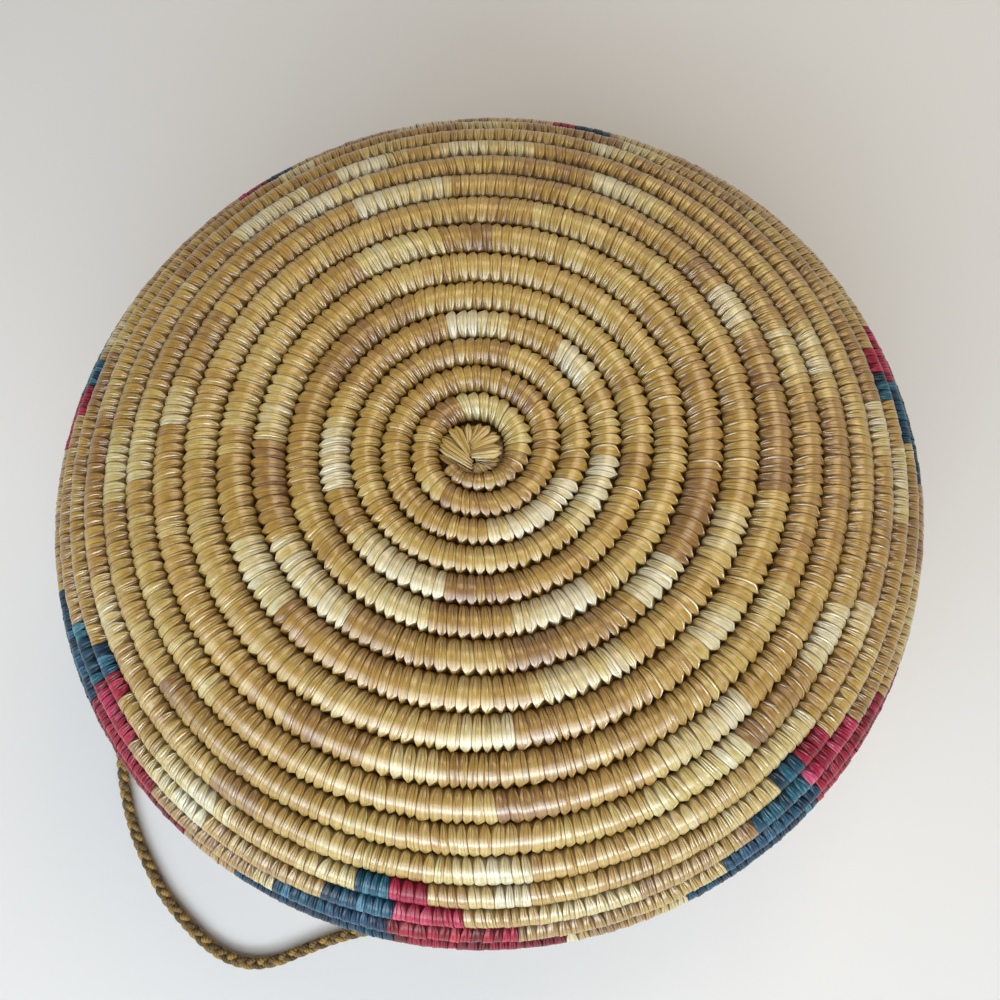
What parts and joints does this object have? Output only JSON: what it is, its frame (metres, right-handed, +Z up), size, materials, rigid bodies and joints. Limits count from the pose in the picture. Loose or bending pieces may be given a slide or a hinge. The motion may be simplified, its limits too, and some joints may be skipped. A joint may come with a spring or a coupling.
{
  "type": "lidded coiled basket",
  "caption": "Round coiled straw basket with a lift-off domed lid, dyed stepped motifs round its widest rows and a plaited cord loop at one side.",
  "frame": {"origin": "centre of the basket's underside, on the surface that it stands on", "axes": "+Z up through the middle of base and lid, +Y away from the side that the picture was taken from, +X to that side's right"},
  "size_m": [0.3412, 0.3196, 0.1513],
  "materials": {
    "straw_coil": "satin wrapped grass strips",
    "start_knot": "satin strip ends",
    "dyed_rim": "satin dyed strips, crimson and indigo",
    "plaited_cord": "matt three-strand plait"
  },
  "bodies": {
    "body": {"body_coil": "straw_coil", "base_start_knot": "start_knot", "body_rim_coil": "dyed_rim", "mouth_collar": "straw_coil", "cord_loop": "plaited_cord", "cord_knot_left": "plaited_cord", "cord_knot_right": "plaited_cord"},
    "lid": {"lid_coil": "straw_coil", "lid_start_knot": "start_knot", "lid_rim_coil": "dyed_rim"}
  },
  "joints": [
    {"name": "lid_lift", "type": "slide", "parent": "body", "child": "lid", "axis": [0, 0, 1], "range_m": [0, 0.15]}
  ]
}
